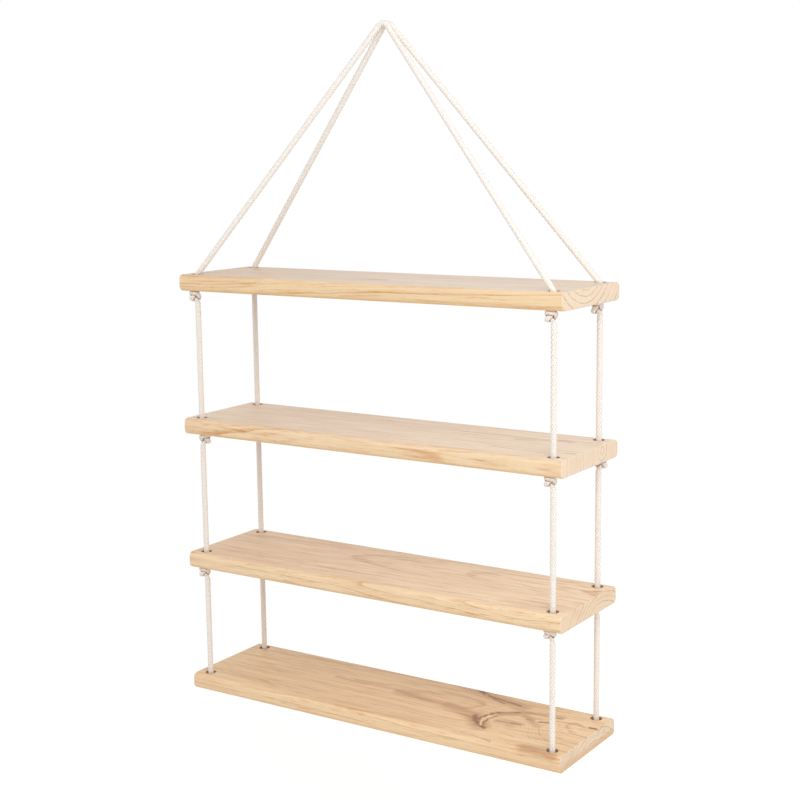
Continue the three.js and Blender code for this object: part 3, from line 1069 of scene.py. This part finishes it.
def board_blank(row, pine):
    """The moulded section carried along X: at each end it is drawn in by a quarter circle."""
    bevel = pine.end_bevel
    quarter = np.linspace(0, math.pi / 2, BEVEL_POINTS)
    near_x = BOARD_LENGTH / 2 - bevel + bevel * np.sin(quarter)
    near = np.stack((near_x, bevel * (1 - np.cos(quarter))), axis=-1)
    rings = []
    for place, inset in np.concatenate((near[::-1] * (-1, 1), near)):
        section_y, section_z = rounded_section(pine.edge_radius, inset)
        rings.append(np.stack((np.full(len(section_y), place), section_y, section_z), axis=-1))
    points = np.array(rings)
    points[..., 2] += (BOARD_TOPS[row] + BOARD_BOTTOMS[row]) / 2
    return ringed_solid(f"pine_{BOARD_NAMES[row]}", points, flipped=True)


def hole_profile(recessed, pine):
    """Radii along a hole's wall, with its round mouths, and heights above the board's top."""
    rounding = pine.hole_rounding
    quarter = np.linspace(0, math.pi / 2, MOUTH_POINTS)
    lower = pine.recess_radius if recessed else pine.hole_radius
    flare = rounding * (1 - np.cos(quarter))
    rise = rounding * np.sin(quarter)
    profile = [(lower + rounding, -BOARD_THICKNESS - HOLE_OVERSHOOT)]
    profile += list(zip(lower + flare[::-1], -BOARD_THICKNESS + rounding - rise[::-1]))
    if recessed:
        ceiling = pine.recess_depth - BOARD_THICKNESS
        profile += [(lower, ceiling - RECESS_CORNER), (lower - RECESS_CORNER, ceiling)]
        profile += [(pine.hole_radius, ceiling)]
    profile += list(zip(pine.hole_radius + flare, -rounding + rise))
    profile += [(pine.hole_radius + rounding, HOLE_OVERSHOOT)]
    return np.array(profile)


def hole_tool(row, side_x, side_y, pine):
    """The solid that a hole takes away: its profile turned about the hole's axis."""
    profile = hole_profile(row == LOWEST, pine)
    turn = 2 * math.pi * np.arange(HOLE_COLUMNS) / HOLE_COLUMNS
    points = np.empty((len(profile), HOLE_COLUMNS, 3))
    points[..., 0] = side_x * HOLE_X + profile[:, :1] * np.cos(turn)
    points[..., 1] = side_y * HOLE_Y + profile[:, :1] * np.sin(turn)
    points[..., 2] = BOARD_TOPS[row] + profile[:, 1:]
    return ringed_solid("hole", points)


def applied(piece):
    """The piece's mesh with its modifiers applied."""
    depsgraph = bpy.context.evaluated_depsgraph_get()
    mesh = bpy.data.meshes.new_from_object(piece.evaluated_get(depsgraph), depsgraph=depsgraph)
    mesh.name = piece.name
    return mesh


def board_mesh(row, pine):
    """A board with its four holes cut and its flat faces shaded flat."""
    collection = bpy.context.scene.collection
    board = bpy.data.objects.new(f"pine_{BOARD_NAMES[row]}", board_blank(row, pine))
    collection.objects.link(board)
    tools = []
    for _, side_x, side_y in CORNERS:
        tool = bpy.data.objects.new("hole", hole_tool(row, side_x, side_y, pine))
        collection.objects.link(tool)
        cut = board.modifiers.new("hole", "BOOLEAN")
        cut.operation, cut.solver, cut.object = "DIFFERENCE", "EXACT", tool
        tools.append(tool)
    cut_mesh = applied(board)
    board.modifiers.clear()
    board.data = cut_mesh
    cut_mesh.shade_smooth()
    cut_mesh.set_sharp_from_angle(angle=math.radians(40))
    weighted = board.modifiers.new("weighted", "WEIGHTED_NORMAL")
    weighted.keep_sharp = True
    mesh = applied(board)
    for spare in (board, *tools):
        bpy.data.objects.remove(spare)
    return mesh


# Camera, lamps and floor

# Lamps: name, direction from the shelf's middle, distance, side, and share of full light
SHELF_MIDDLE = (0.0, 0.0, -0.68)
LAMPS = (
    ("key", (0.62, -0.56, 0.55), 2.3, 1.5, 0.46),
    ("fill", (-0.60, -0.70, 0.45), 3.2, 2.0, 0.14),
    ("side", (0.95, 0.10, 0.35), 2.4, 1.4, 0.11),
)

# The camera's sensor (mm), and the nearest and the furthest that it sees
SENSOR_WIDTH = 36
CAMERA_RANGE = (0.05, 60)

# The floor: half its side, the glow that makes it white where no shadow falls, and the distances
# over which it fades to plain white
FLOOR_REACH = 14.0
FLOOR_GLOW = 0.44
FLOOR_FADE = (0.7, 1.7)


def placed(right, upward, backward, place):
    """A matrix that turns X, Y and Z into those directions and moves the origin to a place."""
    turned = Matrix(np.stack((right, upward, backward), axis=-1).tolist()).to_4x4()
    return Matrix.Translation(place) @ turned


# Operators


class SHELF_OT_stage(bpy.types.Operator):
    """Sets up the camera, the lamps, the white surroundings and the floor"""

    bl_idname = "rope_shelf.stage"
    bl_label = "Stage"

    def execute(self, context):
        stage = context.scene.shelf_stage
        context.scene.view_settings.view_transform = "Standard"
        self.add_camera(context, stage)
        self.add_world(context, stage)
        self.add_lamps(context)
        self.add_floor(context, stage)
        return {"FINISHED"}

    def add_camera(self, context, stage):
        """The view direction from yaw and pitch, then rolled about itself."""
        yaw, pitch, roll = stage.yaw, stage.pitch, stage.roll
        level = math.cos(pitch)
        ahead = np.array((-math.sin(yaw) * level, math.cos(yaw) * level, math.sin(pitch)))
        right = np.array((math.cos(yaw), math.sin(yaw), 0))
        upward = np.cross(right, ahead)
        rolled_right = math.cos(roll) * right + math.sin(roll) * upward
        rolled_up = math.cos(roll) * upward - math.sin(roll) * right
        data = bpy.data.cameras.new("camera")
        data.sensor_width, data.lens = SENSOR_WIDTH, stage.lens
        data.clip_start, data.clip_end = CAMERA_RANGE
        camera = bpy.data.objects.new("camera", data)
        camera.matrix_world = placed(rolled_right, rolled_up, -ahead, stage.camera_place)
        context.scene.collection.objects.link(camera)
        context.scene.camera = camera

    def add_world(self, context, stage):
        """Even light from all round, seen as plain white by the camera and in reflections."""
        world = bpy.data.worlds.new("studio")
        finish = Finish(world)
        path = finish.node("ShaderNodeLightPath").outputs
        seen = Signal(finish, path["Is Camera Ray"]).greater(path["Is Glossy Ray"])
        lit, white = (
            finish.node("ShaderNodeBackground", None, {"Color": (1, 1, 1), "Strength": level})
            for level in (stage.world_level, 1)
        )
        mixed = finish.mix_shaders(seen, lit, white)
        finish.node("ShaderNodeOutputWorld", None, {"Surface": mixed.outputs[0]})
        context.scene.world = world

    def add_lamps(self, context):
        """Large square lamps, each aimed at the shelf's middle."""
        for name, direction, distance, side, share in LAMPS:
            aim = np.array(direction) / np.linalg.norm(direction)
            right = np.cross((0, 0, 1), aim)
            right /= np.linalg.norm(right)
            lamp = bpy.data.lights.new(name, "AREA")
            lamp.shape, lamp.size = "SQUARE", side
            lamp.energy = share * math.pi**2 * distance**2
            holder = bpy.data.objects.new(name, lamp)
            place = (np.array(SHELF_MIDDLE) + aim * distance).tolist()
            holder.matrix_world = placed(right, np.cross(aim, right), aim, place)
            holder.visible_camera = False
            context.scene.collection.objects.link(holder)

    def add_floor(self, context, stage):
        """A wide floor that takes shadows. The camera sees it fade to plain white away from the
        shelf, so that it meets the white surroundings without an edge."""
        height = BOARD_BOTTOMS[LOWEST] - stage.floor_drop
        square = ((-1, -1), (1, -1), (1, 1), (-1, 1))
        corners = np.array([(x * FLOOR_REACH, y * FLOOR_REACH, height) for x, y in square])
        mesh = new_mesh("floor", corners, [(0, 1, 2, 3)])
        floor = bpy.data.objects.new("floor", mesh)
        context.scene.collection.objects.link(floor)
        finish = Finish(bpy.data.materials.new("floor"))
        path = finish.node("ShaderNodeLightPath")
        paint = finish.node("ShaderNodeBsdfDiffuse", None, {"Color": tuple(stage.floor)})
        glow = finish.node("ShaderNodeEmission", None, {"Strength": FLOOR_GLOW})
        white = finish.node("ShaderNodeEmission", None, {"Strength": 1})
        near = finish.node("ShaderNodeAddShader", None, {0: paint.outputs[0], 1: glow.outputs[0]})
        x, y, _ = finish.parts(finish.node("ShaderNodeTexCoord").outputs["Object"])
        away = (x * x + y * y).root().rising(*FLOOR_FADE)
        seen = finish.mix_shaders(away, near, white)
        both = finish.mix_shaders(path.outputs["Is Camera Ray"], paint, seen)
        finish.node("ShaderNodeOutputMaterial", None, {"Surface": both.outputs[0]})
        mesh.materials.append(finish.owner)


def place_rope(node, mesh, rope):
    """Puts a rope's mesh into the scene for a node, in the one cotton material of all ropes."""
    cotton = bpy.data.materials.get("cotton_rope_braid")
    if cotton is None:
        cotton = cotton_material("cotton_rope_braid", rope)
    return place_piece(f"rope_{node}", mesh, cotton, node)


class SHELF_OT_slings(bpy.types.Operator):
    """Builds the two ropes that run from the top board over the hook"""

    bl_idname = "rope_shelf.slings"
    bl_label = "Slings"

    def execute(self, context):
        rope = context.scene.shelf_rope
        for side, side_y in (("front", -1), ("back", 1)):
            node = f"sling_{side}"
            route = sling_route(side_y, rope)
            # a sling starts upwards, so the count at its first end is turned round
            phases = crossings_at(route[[0, -1], 2], rope) * (-1, 1)
            mesh = rope_tube(f"rope_{node}", route, phases, rope, relief=SLING_RELIEF)
            piece = place_rope(node, mesh, rope)
        return {"FINISHED"}


class SHELF_OT_spans(bpy.types.Operator):
    """Builds the straight ropes between each board and the next"""

    bl_idname = "rope_shelf.spans"
    bl_label = "Ropes between boards"

    def execute(self, context):
        rope = context.scene.shelf_rope
        for row in range(1, len(BOARD_NAMES)):
            for corner, side_x, side_y in CORNERS:
                node = f"span_{row + 1}_{corner}"
                heights = np.linspace(upper_pivot(row - 1, rope), lower_pivot(row), SPAN_POINTS)
                route = np.empty((SPAN_POINTS, 3))
                route[:, :2] = (side_x * HOLE_X, side_y * HOLE_Y)
                route[:, 2] = heights
                phases = crossings_at(heights[[0, -1]], rope)
                mesh = rope_tube(f"rope_{node}", route, phases, rope)
                piece = place_rope(node, mesh, rope)
        return {"FINISHED"}


class SHELF_OT_bends(bpy.types.Operator):
    """Builds the rounded bits of rope that fill a bend when a board sways"""

    bl_idname = "rope_shelf.bends"
    bl_label = "Rope bends"

    def execute(self, context):
        rope = context.scene.shelf_rope
        for row in range(1, len(BOARD_NAMES)):
            for kind, height in (("upper", upper_pivot(row - 1, rope)), ("lower", lower_pivot(row))):
                for corner, side_x, side_y in CORNERS:
                    node = f"bend_{kind}_{row + 1}_{corner}"
                    middle = np.array((side_x * HOLE_X, side_y * HOLE_Y, height))
                    place_rope(node, self.bend_mesh(f"rope_{node}", middle, rope), rope)
        return {"FINISHED"}

    def bend_mesh(self, name, middle, rope):
        """A ball a little smaller than the rope, with the braid that the rope has there."""
        tilt = np.linspace(0, math.pi, BEND_ROWS + 2)[1:-1]
        ball = rope.diameter / 2 * BEND_SHARE
        phase = crossings_at(middle[2] + ball * np.cos(tilt), rope)
        height = braid_grid(phase, rope)
        size = ball * braid_reach(height, rope)
        turn = -2 * math.pi * np.arange(height.shape[1]) / height.shape[1]
        level = size * np.sin(tilt)[:, None]
        upward = size * np.cos(tilt)[:, None]
        points = np.stack((level * np.cos(turn), level * np.sin(turn), upward), axis=-1) + middle
        tips = middle + np.array(((0, 0, ball), (0, 0, -ball)))
        return closed_braid(name, points, tips, height, phase)


class SHELF_OT_knots(bpy.types.Operator):
    """Ties the knot under each hole, with the rope that leads into and out of it"""

    bl_idname = "rope_shelf.knots"
    bl_label = "Knots"

    def execute(self, context):
        rope = context.scene.shelf_rope
        for row in range(len(BOARD_NAMES)):
            for corner, (corner_name, _, _) in enumerate(CORNERS):
                node = f"knot_{row + 1}_{corner_name}"
                route = knot_route(row, corner, rope)
                mesh = rope_tube(
                    f"rope_{node}", route, crossings_at(route[[0, -1], 2], rope), rope,
                    radius=knot_radius(route, row, rope), cut_end=row == LOWEST,
                    seat=knot_middle(row) + KNOT_HALF + TOUCH_GAP,
                )
                place_rope(node, mesh, rope)
        return {"FINISHED"}


class SHELF_OT_boards(bpy.types.Operator):
    """Builds the four moulded pine boards with their rope holes"""

    bl_idname = "rope_shelf.boards"
    bl_label = "Pine boards"

    def execute(self, context):
        pine = context.scene.shelf_pine
        for row, node in enumerate(BOARD_NAMES):
            mesh = board_mesh(row, pine)
            place_piece(f"pine_{node}", mesh, pine_material(row, pine), node)
        return {"FINISHED"}


SETTINGS = {"shelf_pine": PineSettings, "shelf_rope": RopeSettings, "shelf_stage": StageSettings}
OPERATORS = (SHELF_OT_stage, SHELF_OT_slings, SHELF_OT_spans, SHELF_OT_bends, SHELF_OT_knots, SHELF_OT_boards)


class SHELF_PT_panel(bpy.types.Panel):
    """Lists the shelf's steps and settings"""

    bl_label = "Rope shelf"
    bl_idname = "SHELF_PT_panel"
    bl_space_type = "VIEW_3D"
    bl_region_type = "UI"
    bl_category = "Rope shelf"

    def draw(self, context):
        for operator in OPERATORS:
            self.layout.operator(operator.bl_idname)
        for name in SETTINGS:
            settings = getattr(context.scene, name)
            box = self.layout.box()
            for key in settings.__annotations__:
                box.prop(settings, key)


CLASSES = (*SETTINGS.values(), *OPERATORS, SHELF_PT_panel)


def register():
    for kind in CLASSES:
        bpy.utils.register_class(kind)
    for name, kind in SETTINGS.items():
        setattr(bpy.types.Scene, name, bpy.props.PointerProperty(type=kind))


def unregister():
    for name in SETTINGS:
        delattr(bpy.types.Scene, name)
    for kind in reversed(CLASSES):
        bpy.utils.unregister_class(kind)


def main():
    register()
    bpy.ops.rope_shelf.stage()
    bpy.ops.rope_shelf.slings()
    bpy.ops.rope_shelf.spans()
    bpy.ops.rope_shelf.bends()
    bpy.ops.rope_shelf.knots()
    bpy.ops.rope_shelf.boards()


if __name__ == "__main__":
    main()
